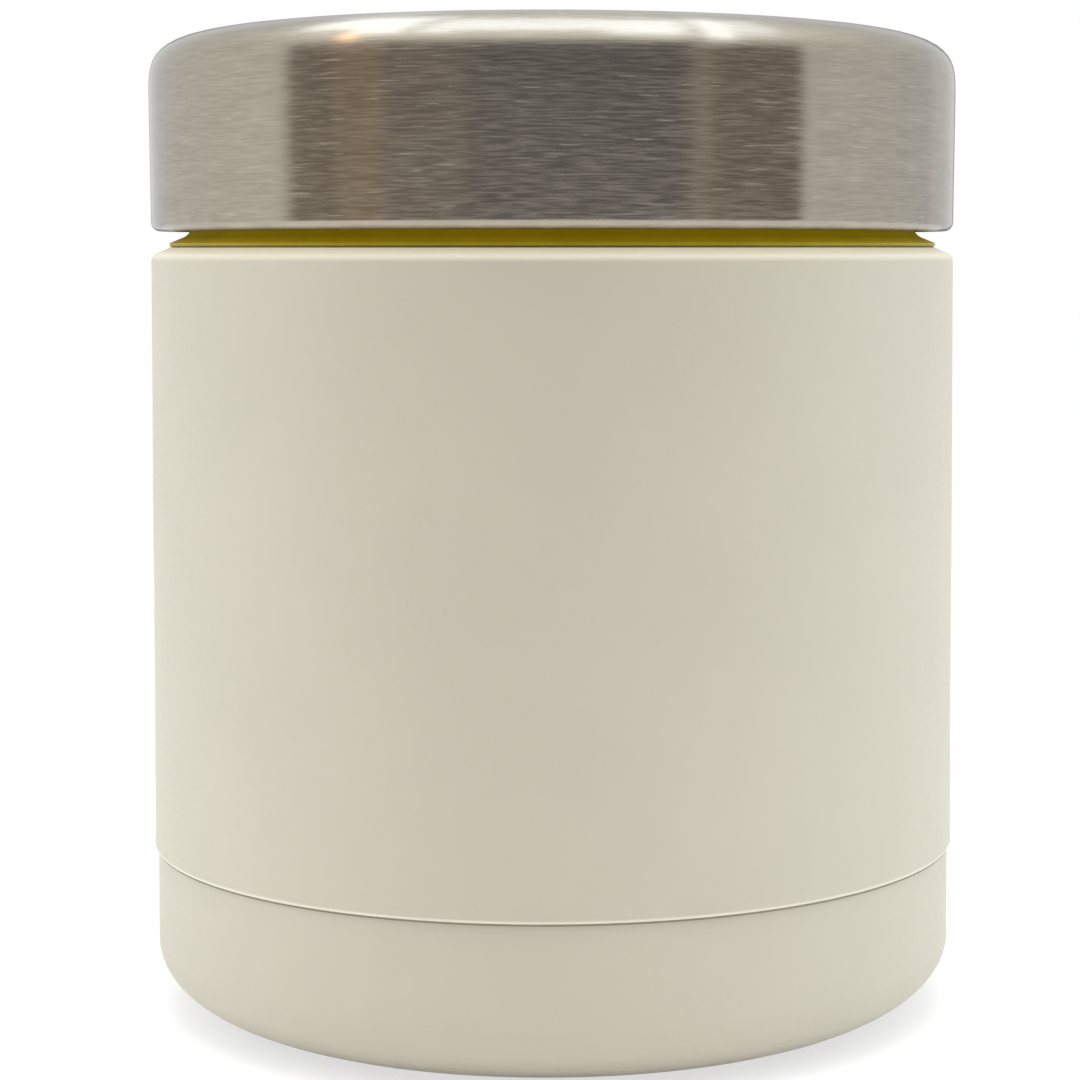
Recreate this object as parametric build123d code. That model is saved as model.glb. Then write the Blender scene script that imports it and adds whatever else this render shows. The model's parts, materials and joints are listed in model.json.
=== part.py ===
from build123d import *
import os
from math import cos, pi, radians, tan

# Insulated food jar with a screw lid. Millimetres and degrees.
# The jar stands on z = 0, its axis is the Z axis, and the lid is screwed down.

# Painted shell
body_radius = 45.0  # outside of the straight wall
shoulder_height = 83.75  # where wall and shoulder would meet in a sharp edge
shoulder_width = 5.1  # from the wall in to the neck
shoulder_slope = 22.5  # rise of the shoulder towards the neck
shoulder_round = 1.5  # rounding of the shoulder's outer edge
shell_wall = 0.6
shell_hem = 0.8  # rounding of the shell's lower edge, above the seam
neck_height = 14.75  # from the foot of the neck to the top of the rim

# Base cup
base_height = 17.85  # top edge of the cup
base_inset = 0.35  # how far the cup stands back from the shell
base_wall = 0.6
base_corner_height = 7.5  # the bottom corner is a quarter ellipse
base_corner_reach = 11.8
base_edge_round = 0.25  # rounding of the cup's top edge
foot_width = 6.0  # flat ring that the jar stands on
foot_depth = 1.2  # recess inside that ring
foot_slope = 2.0  # width of the step up into the recess
seam_gap = 0.25  # open line between cup and shell
base_fit = 0.05  # the cup is pressed over the shell's skirt

# Inner vessel and vacuum space
vessel_wall = 0.5
vessel_round = 8.0  # inside rounding at the vessel's floor
neck_vacuum_gap = 0.9  # between vessel and neck
rim_height = 1.0  # thickness of the rim that closes the vacuum space
rim_round = 0.45
floor_gap = 2.9  # between the bottom plate and the vessel
foil_thickness = 0.15
foil_fit = 0.05
foil_margin = 2.0  # from the foil's ends to the corners it stops short of

# Bottom plate, getter and sealing bead
plate_wall = 0.6
plate_flange = 3.0
plate_round = 1.0
plate_fit = 0.05
skirt_margin = 0.5  # between the base cup's corner and the shell's skirt
dimple_radius = 5.0
dimple_rise = 1.2
dimple_slope = 1.2  # width of the dimple's side
vent_radius = 1.5  # hole through which the space is pumped out
bead_height = 0.85
bead_margin = 1.2  # bare roof around the bead in the dimple
bead_round = 0.3
bead_fit = 0.05
getter_radius = 4.5
getter_height = 1.2
getter_offset = 20.0  # from the axis
getter_round = 0.4

# Neck band
band_wall = 0.6
band_rise = 2.6  # from the slope, at the band's wall, to its top edge
band_foot = 2.8  # how far the foot spreads over the shoulder
band_edge = 0.3  # thickness at the foot's edge
band_cove = 1.6  # inside curve between foot and wall
band_round = 0.25

# Screw thread, the same on neck and liner
thread_starts = 2
thread_lead = 8.0
thread_turns = 0.9
thread_depth = 1.1
thread_root = 1.7
thread_crest = 0.9
thread_clearance = 0.4  # between each ridge and the wall it faces
thread_sink = 0.25  # how far a ridge reaches into its own wall
thread_margin = 0.55  # from the upper ridge end to the rim
thread_lift = 0.6  # from the neck band to the liner's lowest ridge end

# Lid cover
cover_wall = 0.5
cover_flare = 0.2  # how much wider the cover is below its top corner
cover_curl = 1.0  # rounding of the rolled lower edge
cover_lip = 2.6  # width of the turned-in lip, with its rounding
cover_corner_height = 7.0
cover_corner_reach = 15.0
cover_corner_fullness = 0.87  # share of the way to the sharp corner
lid_gap = 1.57  # between the lip and the shoulder below it

# Liner, plug, foam and seal
liner_wall = 2.0
liner_flange = 1.4
liner_fit = 0.1
deck_thickness = 1.6
deck_inset = 0.8  # from the cover's wall to the deck's edge
plug_clearance = 1.2  # between plug and vessel
plug_depth = 8.1  # below the top of the rim
plug_wall = 1.2
plug_round = 3.0
plug_flange = 2.2
plug_flange_thickness = 1.0
plug_fit = 0.1
cap_space = 3.54  # above the deck, filled with foam
foam_clearance = 0.15
seal_thickness = 2.0
seal_gap = 0.08  # between the seal and what it faces
seal_fit = 0.25  # between the seal and the plug
seal_overlap = 0.5  # past the outside of the rim
seal_round = 0.4
seal_rib_reach = 0.65  # rib on the plug that holds the seal
seal_rib_height = 0.9

ellipse_fullness = 0.5523  # handle length of a Bezier curve that draws a quarter ellipse

# Places worked out from these sizes
base_radius = body_radius - base_inset
skirt_radius = base_radius - base_wall - base_fit
skirt_bottom = base_corner_height + skirt_margin
shell_bottom = base_height + seam_gap
neck_radius = body_radius - shoulder_width
neck_bore = neck_radius - shell_wall
vessel_outside = neck_bore - neck_vacuum_gap
vessel_radius = vessel_outside - vessel_wall


def shoulder_at(radius):
    # Height of the shoulder's slope at a radius
    return shoulder_height + (body_radius - radius) * tan(radians(shoulder_slope))


neck_foot = shoulder_at(neck_radius)
rim_top = neck_foot + neck_height
neck_top = rim_top - rim_height
plate_top = skirt_bottom + plate_wall
vessel_bottom = plate_top + floor_gap
band_radius = neck_radius + band_wall
band_top = shoulder_at(band_radius) + band_rise

ridge_radius = neck_radius + thread_depth
liner_bore = ridge_radius + thread_clearance
liner_radius = liner_bore + liner_wall
cover_radius = body_radius  # the cover's lower edge is flush with the shell's wall
cover_top_radius = cover_radius + cover_flare
lip_radius = cover_radius - cover_lip
lid_bottom = shoulder_at(lip_radius) + lid_gap
seal_bottom = rim_top + seal_gap
seal_top = seal_bottom + seal_thickness
deck_bottom = seal_top + seal_gap
deck_top = deck_bottom + deck_thickness
cover_ceiling = deck_top + cap_space
lid_top = cover_ceiling + cover_wall
cover_corner_bottom = lid_top - cover_corner_height
plug_radius = vessel_radius - plug_clearance
plug_bottom = rim_top - plug_depth
plug_top = deck_top + plug_flange_thickness
thread_rise = thread_turns * thread_lead
neck_thread_start = neck_top - thread_margin - thread_root / 2 - thread_rise
liner_thread_start = band_top + thread_lift + thread_root / 2


def spin(outline):
    # Turns a closed outline of radius and height round the jar's axis
    return revolve(make_face(Plane.XZ * outline), Axis.Z)


def ring(*corners):
    # Turned solid whose corners are (radius, height) or (radius, height, rounding)
    places = [(corner[0], corner[1]) for corner in corners]
    rounds = [corner[2] if len(corner) > 2 else 0 for corner in corners]
    return spin(FilletPolyline(*places, radius=rounds, close=True))


def soft_corner(wall_radius, wall_height, flat_radius, flat_height, fullness):
    # Curve from an upright wall to a flat, pulled towards the corner where they would meet
    handle_height = wall_height + fullness * (flat_height - wall_height)
    handle_radius = flat_radius + fullness * (wall_radius - flat_radius)
    return Bezier(
        (wall_radius, wall_height),
        (wall_radius, handle_height),
        (handle_radius, flat_height),
        (flat_radius, flat_height),
    )


def thread(wall_radius, direction, start_height, start_angle):
    # Ridges with round ends, standing out of the wall (direction 1) or into the bore (-1)
    foot = wall_radius - direction * thread_sink
    tip = wall_radius + direction * thread_depth
    half_root = thread_root / 2
    half_crest = thread_crest / 2
    upper = [(tip, half_crest), (wall_radius, half_root), (foot, half_root)]
    lower = [(radius, -height) for radius, height in reversed(upper)]
    section = make_face(Plane.XZ * Polyline(*upper, *lower, close=True))
    half_section = make_face(Plane.XZ * Polyline((foot, 0), (tip, 0), *upper, close=True))
    ridge_end = revolve(half_section, Axis.X)
    path = Helix(pitch=thread_lead, height=thread_rise, radius=wall_radius)
    ridge = sweep(section, path=path, is_frenet=True)
    ridge += ridge_end
    ridge += Pos(0, 0, thread_rise) * Rot(0, 0, 360 * thread_turns) * ridge_end
    ridges = []
    for start in range(thread_starts):
        angle = start_angle + 360 * start / thread_starts
        ridges.append(Pos(0, 0, start_height) * Rot(0, 0, angle) * ridge)
    return ridges


def outer_shell():
    # Skirt inside the base cup, hem at the seam, wall, shoulder, neck and its thread
    slope_wall = shell_wall / cos(radians(shoulder_slope))
    bore = body_radius - shell_wall
    shell = ring(
        (skirt_radius, skirt_bottom),
        (skirt_radius, shell_bottom),
        (body_radius, shell_bottom, shell_hem),
        (body_radius, shoulder_height, shoulder_round),
        (neck_radius, neck_foot),
        (neck_radius, neck_top),
        (neck_bore, neck_top),
        (neck_bore, shoulder_at(neck_bore) - slope_wall),
        (bore, shoulder_at(bore) - slope_wall, shoulder_round - shell_wall),
        (bore, shell_bottom + shell_wall),
        (skirt_radius - shell_wall, shell_bottom + shell_wall),
        (skirt_radius - shell_wall, skirt_bottom),
    )
    return shell + thread(neck_radius, 1, neck_thread_start, 0)


def base_cup():
    foot_outside = base_radius - base_corner_reach
    foot_inside = foot_outside - foot_width
    recess = foot_inside - foot_slope
    bore = base_radius - base_wall
    top = FilletPolyline(
        (base_radius, base_corner_height),
        (base_radius, base_height),
        (bore, base_height),
        (bore, base_corner_height),
        radius=base_edge_round,
    )
    bottom = Polyline(
        (foot_outside, 0),
        (foot_inside, 0),
        (recess, foot_depth),
        (0, foot_depth),
        (0, foot_depth + base_wall),
        (recess, foot_depth + base_wall),
        (foot_inside, base_wall),
        (foot_outside, base_wall),
    )
    outside = soft_corner(base_radius, base_corner_height, foot_outside, 0, ellipse_fullness)
    inside = soft_corner(bore, base_corner_height, foot_outside, base_wall, ellipse_fullness)
    return spin(top + bottom + outside + inside)


def neck_band():
    # Band round the foot of the neck, its thin foot lying on the shoulder
    foot_radius = band_radius + band_foot
    return ring(
        (neck_radius, neck_foot),
        (foot_radius, shoulder_at(foot_radius)),
        (foot_radius, shoulder_at(foot_radius) + band_edge),
        (band_radius, shoulder_at(band_radius) + band_edge, band_cove),
        (band_radius, band_top, band_round),
        (neck_radius, band_top, band_round),
    )


def inner_vessel():
    # Food vessel with a rounded floor and a rim that covers the top of the neck
    floor = vessel_bottom + vessel_wall
    return ring(
        (0, vessel_bottom),
        (vessel_outside, vessel_bottom, vessel_round + vessel_wall),
        (vessel_outside, neck_top),
        (neck_radius, neck_top),
        (neck_radius, rim_top, rim_round),
        (vessel_radius, rim_top, rim_round),
        (vessel_radius, floor, vessel_round),
        (0, floor),
    )


def radiation_foil():
    bore = vessel_outside + foil_fit
    bottom = vessel_bottom + vessel_round + vessel_wall + foil_margin
    top = shoulder_height - foil_margin
    return ring(
        (bore, bottom),
        (bore + foil_thickness, bottom),
        (bore + foil_thickness, top),
        (bore, top),
    )


def vacuum_bottom():
    # Pan pressed into the shell's skirt, with a dimple round the vent
    outside = skirt_radius - shell_wall - plate_fit
    flange_top = skirt_bottom + plate_flange
    dimple_foot = dimple_radius + dimple_slope
    dimple_bottom = skirt_bottom + dimple_rise
    return ring(
        (vent_radius, dimple_bottom),
        (dimple_radius, dimple_bottom),
        (dimple_foot, skirt_bottom),
        (outside, skirt_bottom, plate_round + plate_wall),
        (outside, flange_top),
        (outside - plate_wall, flange_top),
        (outside - plate_wall, plate_top, plate_round),
        (dimple_foot, plate_top),
        (dimple_radius, dimple_bottom + plate_wall),
        (vent_radius, dimple_bottom + plate_wall),
    )


def vacuum_seal():
    # Bead that fills the vent and spreads under the dimple's roof
    roof = skirt_bottom + dimple_rise
    bead_radius = dimple_radius - bead_margin
    stem_radius = vent_radius - bead_fit
    return ring(
        (0, roof - bead_height),
        (bead_radius, roof - bead_height, bead_round),
        (bead_radius, roof),
        (stem_radius, roof),
        (stem_radius, roof + plate_wall),
        (0, roof + plate_wall),
    )


def getter():
    pill = Cylinder(getter_radius, getter_height, align=(Align.CENTER, Align.CENTER, Align.MIN))
    pill = fillet(pill.edges().group_by(Axis.Z)[-1], getter_round)
    return Pos(getter_offset, 0, plate_top) * pill


def lid_cover():
    # Drawn cover: flat top, soft corner, flared wall and a rolled edge that holds the liner
    bore = cover_radius - cover_wall
    lip_top = lid_bottom + cover_wall
    outer_top = (cover_top_radius, cover_corner_bottom)
    inner_top = (cover_top_radius - cover_wall, cover_corner_bottom)
    flat_start = cover_top_radius - cover_corner_reach
    edge = FilletPolyline(
        outer_top,
        (cover_radius, lid_bottom),
        (lip_radius, lid_bottom),
        (lip_radius, lip_top),
        (bore, lip_top),
        inner_top,
        radius=[cover_curl, 0, 0, cover_curl - cover_wall],
    )
    top = Polyline(
        (flat_start, lid_top),
        (0, lid_top),
        (0, cover_ceiling),
        (flat_start, cover_ceiling),
    )
    outside = soft_corner(*outer_top, flat_start, lid_top, cover_corner_fullness)
    inside = soft_corner(*inner_top, flat_start, cover_ceiling, cover_corner_fullness)
    return spin(edge + top + outside + inside)


def lid_liner():
    # Threaded skirt between a lower flange, held by the cover's lip, and the deck
    bottom = lid_bottom + cover_wall + liner_fit
    flange_radius = cover_radius - cover_wall - liner_fit
    deck_radius = cover_radius - cover_wall - deck_inset
    flange_round = cover_curl - cover_wall + liner_fit
    liner = ring(
        (liner_bore, bottom),
        (flange_radius, bottom, flange_round),
        (flange_radius, bottom + liner_flange),
        (liner_radius, bottom + liner_flange),
        (liner_radius, deck_bottom),
        (deck_radius, deck_bottom),
        (deck_radius, deck_top),
        (plug_radius + plug_fit, deck_top),
        (plug_radius + plug_fit, deck_bottom),
        (liner_bore, deck_bottom),
    )
    # The liner's ridges lie midway between the neck's, wherever they start
    half_pitch = thread_lead / thread_starts / 2
    start_angle = 360 * (liner_thread_start - neck_thread_start + half_pitch) / thread_lead
    return liner + thread(liner_bore, -1, liner_thread_start, start_angle)


def plug_cup():
    # Cup that hangs through the deck by its flange, with a rib that holds the seal
    bore = plug_radius - plug_wall
    rib_top = seal_bottom - seal_gap
    rib_radius = plug_radius + seal_rib_reach
    return ring(
        (0, plug_bottom),
        (plug_radius, plug_bottom, plug_round),
        (plug_radius, rib_top - seal_rib_height),
        (rib_radius, rib_top - seal_rib_height / 2),
        (rib_radius, rib_top),
        (plug_radius, rib_top),
        (plug_radius, deck_top),
        (plug_radius + plug_flange, deck_top),
        (plug_radius + plug_flange, plug_top),
        (bore, plug_top),
        (bore, plug_bottom + plug_wall, plug_round - plug_wall),
        (0, plug_bottom + plug_wall),
    )


def lid_foam():
    # Plug filling with a wider head that fits under the cover's corner
    bottom = plug_bottom + plug_wall + foam_clearance
    head_bottom = plug_top + foam_clearance
    bore = plug_radius - plug_wall - foam_clearance
    inset = cover_wall + foam_clearance
    wall_radius = cover_top_radius - inset
    flat_start = cover_top_radius - cover_corner_reach
    top = lid_top - inset
    side = Polyline(
        (flat_start, top),
        (0, top),
        (0, cover_corner_bottom),
        (wall_radius, cover_corner_bottom),
    )
    corner = soft_corner(
        wall_radius, cover_corner_bottom, flat_start, top, cover_corner_fullness
    )
    head = spin(side + corner)
    head -= ring(
        (0, bottom),
        (cover_top_radius, bottom),
        (cover_top_radius, head_bottom),
        (0, head_bottom),
    )
    filling = ring(
        (0, bottom),
        (bore, bottom, plug_round - plug_wall),
        (bore, head_bottom),
        (0, head_bottom),
    )
    return head + filling


def lid_seal():
    bore = plug_radius + seal_fit
    outside = neck_radius + seal_overlap
    return ring(
        (bore, seal_bottom, seal_round),
        (outside, seal_bottom, seal_round),
        (outside, seal_top, seal_round),
        (bore, seal_top, seal_round),
    )


pieces = {
    "outer_shell": outer_shell,
    "base_cup": base_cup,
    "neck_band": neck_band,
    "inner_vessel": inner_vessel,
    "radiation_foil": radiation_foil,
    "vacuum_bottom": vacuum_bottom,
    "vacuum_seal": vacuum_seal,
    "getter": getter,
    "lid_cover": lid_cover,
    "lid_liner": lid_liner,
    "plug_cup": plug_cup,
    "lid_foam": lid_foam,
    "lid_seal": lid_seal,
}

os.makedirs("parts", exist_ok=True)
for name, make in pieces.items():
    export_step(make(), f"parts/{name}.step")

food_depth = plug_bottom - vessel_bottom - vessel_wall
print(f"jar: {2 * cover_top_radius:.1f} mm wide, {lid_top:.2f} mm high")
print(f"lid: lower edge at {lid_bottom:.2f} mm, rim of the mouth at {rim_top:.2f} mm")
print(f"space for food under the plug: {pi * vessel_radius**2 * food_depth / 1000:.0f} ml")
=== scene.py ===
import bmesh
import bpy
import json
from math import atan2, cos, hypot, pi, radians, sin, tan
from mathutils import Matrix, Vector


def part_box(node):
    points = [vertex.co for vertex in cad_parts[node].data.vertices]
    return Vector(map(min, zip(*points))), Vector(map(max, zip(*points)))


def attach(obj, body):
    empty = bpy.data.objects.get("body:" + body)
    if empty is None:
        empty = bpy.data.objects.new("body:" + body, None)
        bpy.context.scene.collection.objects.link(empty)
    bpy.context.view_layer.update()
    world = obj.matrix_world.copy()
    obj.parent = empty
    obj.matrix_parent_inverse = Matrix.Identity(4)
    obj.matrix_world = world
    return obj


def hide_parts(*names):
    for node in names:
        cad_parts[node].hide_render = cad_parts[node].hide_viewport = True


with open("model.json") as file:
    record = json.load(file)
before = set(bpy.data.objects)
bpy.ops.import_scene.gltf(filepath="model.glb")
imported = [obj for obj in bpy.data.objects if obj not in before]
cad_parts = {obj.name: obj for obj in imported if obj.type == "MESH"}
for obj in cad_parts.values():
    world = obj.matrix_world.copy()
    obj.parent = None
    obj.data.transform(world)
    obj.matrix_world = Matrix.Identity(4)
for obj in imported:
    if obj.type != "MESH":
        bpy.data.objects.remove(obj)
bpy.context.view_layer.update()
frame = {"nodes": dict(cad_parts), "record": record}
mm = 0.001
print("frame loaded:", len(frame["nodes"]), "nodes")


# Places taken from the frame, in millimetres
def reach(node):
    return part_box(node)[1].x / mm  # outer radius


def bottomOf(node):
    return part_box(node)[0].z / mm


def topOf(node):
    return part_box(node)[1].z / mm


# The camera's place and nearest distance are in millimetres, its angles in degrees
cameraLook = {
    "place": (7.05, -314.4, 84.45),
    "lookDown": 2.477,
    "roll": -0.011,
    "lens": 92.27,
    "shiftX": -0.0700,
    "shiftY": -0.1587,
    "nearest": 10.0,
}


def makeCamera():
    data = bpy.data.cameras.new("studioCamera")
    camera = bpy.data.objects.new("studioCamera", data)
    bpy.context.scene.collection.objects.link(camera)
    data.lens = cameraLook["lens"]
    data.shift_x = cameraLook["shiftX"]
    data.shift_y = cameraLook["shiftY"]
    data.clip_start = cameraLook["nearest"] * mm
    camera.location = Vector(cameraLook["place"]) * mm
    camera.rotation_euler = (radians(90 - cameraLook["lookDown"]), 0, 0)
    camera.rotation_euler.rotate_axis("Z", radians(cameraLook["roll"]))
    bpy.context.scene.camera = camera


class NodeTree:
    # Shorthand for wiring a node tree
    def __init__(self, tree):
        self.tree = tree

    def add(self, kind, inputs=None, **settings):
        node = self.tree.nodes.new(kind)
        for name, value in settings.items():
            setattr(node, name, value)
        for socket, value in (inputs or {}).items():
            self.feed(value, node.inputs[socket])
        return node

    def feed(self, value, socket):
        if isinstance(value, bpy.types.NodeSocket):
            self.tree.links.new(value, socket)
        else:
            socket.default_value = value

    def math(self, operation, first, second=0.0):
        return self.add("ShaderNodeMath", {0: first, 1: second}, operation=operation).outputs[0]

    def ramp(self, value, low, high, toLow=0.0, toHigh=1.0):
        inputs = {"Value": value, "From Min": low, "From Max": high, "To Min": toLow, "To Max": toHigh}
        node = self.add("ShaderNodeMapRange", inputs, interpolation_type="SMOOTHSTEP")
        return node.outputs["Result"]

    def noise(self, place, scale, detail):
        inputs = {"Vector": place, "Scale": scale, "Detail": detail}
        return self.add("ShaderNodeTexNoise", inputs).outputs[0]

    def mix(self, factor, first, second, blend="MIX"):
        node = self.add("ShaderNodeMix", data_type="RGBA", blend_type=blend)
        self.feed(factor, node.inputs[0])
        self.feed(first, node.inputs[6])
        self.feed(second, node.inputs[7])
        return node.outputs[2]


def rgba(colour, level=1.0):
    return (colour[0] * level, colour[1] * level, colour[2] * level, 1.0)


# Room directions are given as the places on a round lid that show them to the camera:
# turn is twice the lid's own angle round the jar, to the right, and tilt is how far its
# surface leans back. Both are in degrees, and so is rise, the plain height of a direction.
# Colours above 1 are lights, and the floor's sizes are in millimetres
studio = {
    "walls": (1.0, 1.0, 1.0),
    "ceiling": (1.46, 1.48, 1.48),
    "ceilingRise": (32.0, 58.0),
    "front": (0.202, 0.193, 0.219),
    "frontTurn": (-71.0, 71.0),
    "frontSoft": 5.0,
    "frontTilt": (12.0, 29.0),
    "back": (0.30, 0.29, 0.30),
    "backTurn": 13.0,
    "backSoft": 4.0,
    "backRise": (9.0, 18.0),
    "strips": [
        {"turn": (-72.7, -67.0), "soft": 7.0, "colour": (0.34, 0.30, 0.27)},
        {"turn": (-60.5, -46.0), "soft": 2.5, "colour": (0.42, 0.335, 0.28)},
        {"turn": (-43.5, -24.0), "soft": 4.0, "colour": (0.30, 0.263, 0.257)},
        {"turn": (39.6, 44.6), "soft": 1.5, "colour": (0.42, 0.365, 0.32)},
        {"turn": (46.6, 71.0), "soft": 2.0, "colour": (0.29, 0.24, 0.225)},
        {"turn": (79.0, 132.0), "soft": 4.0, "colour": (0.88, 0.89, 0.94)},
    ],
    "panels": [
        {"turn": (-36.0, 39.0), "tilt": (39.0, 57.0), "soft": (1.5, 5.0), "colour": (2.5, 2.7, 3.1)},
        {"turn": (18.0, 35.5), "tilt": (33.0, 44.0), "soft": (4.0, 7.0), "colour": (2.6, 2.85, 3.3)},
        {"turn": (-36.0, -29.0), "tilt": (36.0, 44.0), "soft": (3.0, 6.0), "colour": (2.6, 2.8, 3.2)},
        {"turn": (-76.0, -48.0), "tilt": (46.5, 62.0), "soft": (9.0, 6.0), "colour": (2.8, 3.0, 3.3)},
        {"turn": (-59.0, -45.0), "tilt": (36.0, 59.0), "soft": (3.0, 6.0), "colour": (2.9, 3.15, 3.6)},
        {"turn": (48.5, 66.0), "tilt": (36.0, 59.0), "soft": (5.0, 6.0), "colour": (2.0, 2.15, 2.4)},
        {"turn": (45.5, 52.0), "tilt": (29.0, 59.0), "soft": (2.0, 9.0), "colour": (2.9, 3.15, 3.6)},
        {"turn": (-60.0, -57.0), "tilt": (27.0, 32.0), "soft": (2.5, 5.0), "colour": (4.4, 2.9, 1.9)},
    ],
    "floorRadius": 420.0,
    "floorSides": 96,
    "floorColour": (0.98, 0.98, 0.98),
    "floorSeen": (0.30, 0.30, 0.29),
    "floorLift": 0.66,
}


def band(t, value, limits, soft):
    # One between two limits, fading to nothing over a soft edge outside them
    rise = t.ramp(value, limits[0] - soft, limits[0])
    fall = t.ramp(value, limits[1], limits[1] + soft, 1.0, 0.0)
    return t.math("MULTIPLY", rise, fall)


def makeWorld():
    # A white room with a dim front, warm and cool strips in it, and bright panels overhead
    world = bpy.data.worlds.new("studioWorld")
    world.use_nodes = True
    world.node_tree.nodes.clear()
    t = NodeTree(world.node_tree)
    direction = t.add("ShaderNodeTexCoord").outputs["Generated"]
    x, y, z = t.add("ShaderNodeSeparateXYZ", {0: direction}).outputs
    behind = t.math("SUBTRACT", 1.0, y)
    turn = t.math("MULTIPLY", t.math("DEGREES", t.math("ARCTAN2", x, behind)), 2.0)
    squares = t.math("ADD", t.math("MULTIPLY", x, x), t.math("MULTIPLY", behind, behind))
    tilt = t.math("DEGREES", t.math("ARCTAN2", z, t.math("SQRT", squares)))
    rise = t.math("DEGREES", t.math("ARCSINE", z))
    front = band(t, turn, studio["frontTurn"], studio["frontSoft"])
    colour = t.mix(front, rgba(studio["walls"]), rgba(studio["front"]))
    for strip in studio["strips"]:
        mask = band(t, turn, strip["turn"], strip["soft"])
        colour = t.mix(mask, colour, rgba(strip["colour"]))
    colour = t.mix(t.ramp(tilt, *studio["frontTilt"]), colour, rgba(studio["walls"]))
    away = t.math("DEGREES", t.math("ABSOLUTE", t.math("ARCTAN2", x, y)))
    low = t.ramp(rise, *studio["backRise"], 1.0, 0.0)
    back = t.ramp(away, studio["backTurn"], studio["backTurn"] + studio["backSoft"], 1.0, 0.0)
    colour = t.mix(t.math("MULTIPLY", back, low), colour, rgba(studio["back"]))
    colour = t.mix(t.ramp(rise, *studio["ceilingRise"]), colour, rgba(studio["ceiling"]))
    for panel in studio["panels"]:
        turnSoft, tiltSoft = panel["soft"]
        across = band(t, turn, panel["turn"], turnSoft)
        upward = band(t, tilt, panel["tilt"], tiltSoft)
        colour = t.mix(t.math("MULTIPLY", across, upward), colour, rgba(panel["colour"]))
    room = t.add("ShaderNodeBackground", {"Color": colour, "Strength": 1.0})
    white = t.add("ShaderNodeBackground", {"Color": rgba((1, 1, 1)), "Strength": 1.0})
    seen = t.add("ShaderNodeLightPath").outputs["Is Camera Ray"]
    blend = t.add("ShaderNodeMixShader", {0: seen, 1: room.outputs[0], 2: white.outputs[0]})
    t.add("ShaderNodeOutputWorld", {"Surface": blend.outputs[0]})
    bpy.context.scene.world = world


def makeFloor():
    # Bounces light as a bright matt sheet, and looks white to the camera, metal and glass
    bm = bmesh.new()
    radius = studio["floorRadius"] * mm
    bmesh.ops.create_circle(bm, cap_ends=True, segments=studio["floorSides"], radius=radius)
    mesh = bpy.data.meshes.new("studioFloor")
    bm.to_mesh(mesh)
    bm.free()
    floorPiece = bpy.data.objects.new("studioFloor", mesh)
    bpy.context.scene.collection.objects.link(floorPiece)
    material = bpy.data.materials.new("studioFloor")
    material.use_nodes = True
    material.node_tree.nodes.clear()
    t = NodeTree(material.node_tree)
    matt = t.add("ShaderNodeBsdfDiffuse", {"Color": rgba(studio["floorColour"])})
    lift = t.add("ShaderNodeEmission", {"Color": rgba((1, 1, 1)), "Strength": studio["floorLift"]})
    shown = t.add("ShaderNodeBsdfDiffuse", {"Color": rgba(studio["floorSeen"])})
    lifted = t.add("ShaderNodeAddShader", {0: shown.outputs[0], 1: lift.outputs[0]})
    rays = t.add("ShaderNodeLightPath").outputs
    seen = t.math("MAXIMUM", rays["Is Camera Ray"], rays["Is Glossy Ray"])
    seen = t.math("MAXIMUM", seen, rays["Is Transmission Ray"])
    top = t.add("ShaderNodeMixShader", {0: seen, 1: matt.outputs[0], 2: lifted.outputs[0]})
    clear = t.add("ShaderNodeBsdfTransparent")
    below = t.add("ShaderNodeNewGeometry").outputs["Backfacing"]
    both = t.add("ShaderNodeMixShader", {0: below, 1: top.outputs[0], 2: clear.outputs[0]})
    t.add("ShaderNodeOutputMaterial", {"Surface": both.outputs[0]})
    mesh.materials.append(material)


# Soft lamps for the paint, in degrees and millimetres; metal sees the room itself instead
lamps = {
    "frontLamp": {
        "turn": 0.0,
        "rise": 82.0,
        "away": 1000.0,
        "size": 700.0,
        "watts": 4.8,
        "colour": (1.0, 0.86, 0.64),
    },
    "shoulderLamp": {
        "turn": 0.0,
        "rise": 90.0,
        "away": 1000.0,
        "size": 200.0,
        "watts": 7.8,
        "colour": (0.94, 0.98, 1.0),
    },
    "leftLamp": {
        "turn": -90.0,
        "rise": 15.0,
        "away": 900.0,
        "size": 700.0,
        "watts": 2.6,
        "colour": (0.88, 1.0, 1.10),
    },
    "rightLamp": {
        "turn": 90.0,
        "rise": 15.0,
        "away": 900.0,
        "size": 700.0,
        "watts": 2.6,
        "colour": (0.88, 1.0, 1.10),
    },
}


def makeLamps():
    for name, lamp in lamps.items():
        data = bpy.data.lights.new(name, "AREA")
        data.shape = "DISK"
        data.size = lamp["size"] * mm
        data.energy = lamp["watts"]
        data.color = lamp["colour"]
        light = bpy.data.objects.new(name, data)
        bpy.context.scene.collection.objects.link(light)
        turn = radians(lamp["turn"])
        rise = radians(lamp["rise"])
        towards = Vector((sin(turn) * cos(rise), -cos(turn) * cos(rise), sin(rise)))
        middle = Vector((0, 0, topOf("lid_cover") * mm / 2))
        light.location = middle + towards * lamp["away"] * mm
        light.rotation_euler = towards.to_track_quat("Z", "Y").to_euler()
        light.visible_glossy = False
        light.visible_camera = False


makeCamera()
makeWorld()
makeFloor()
makeLamps()
bpy.context.scene.view_settings.view_transform = "Standard"
print("camera, room, floor and lamps made")


def newGroup(name, inputs, outputs):
    tree = bpy.data.node_groups.new(name, "ShaderNodeTree")
    for label, kind, value in inputs:
        socket = tree.interface.new_socket(name=label, in_out="INPUT", socket_type=kind)
        socket.default_value = value
    for label, kind in outputs:
        tree.interface.new_socket(name=label, in_out="OUTPUT", socket_type=kind)
    t = NodeTree(tree)
    return t, t.add("NodeGroupInput"), t.add("NodeGroupOutput")


marksLook = {
    "innermost": 0.0001,  # metres from the axis
    "waveScale": 75.0,
}


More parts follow.
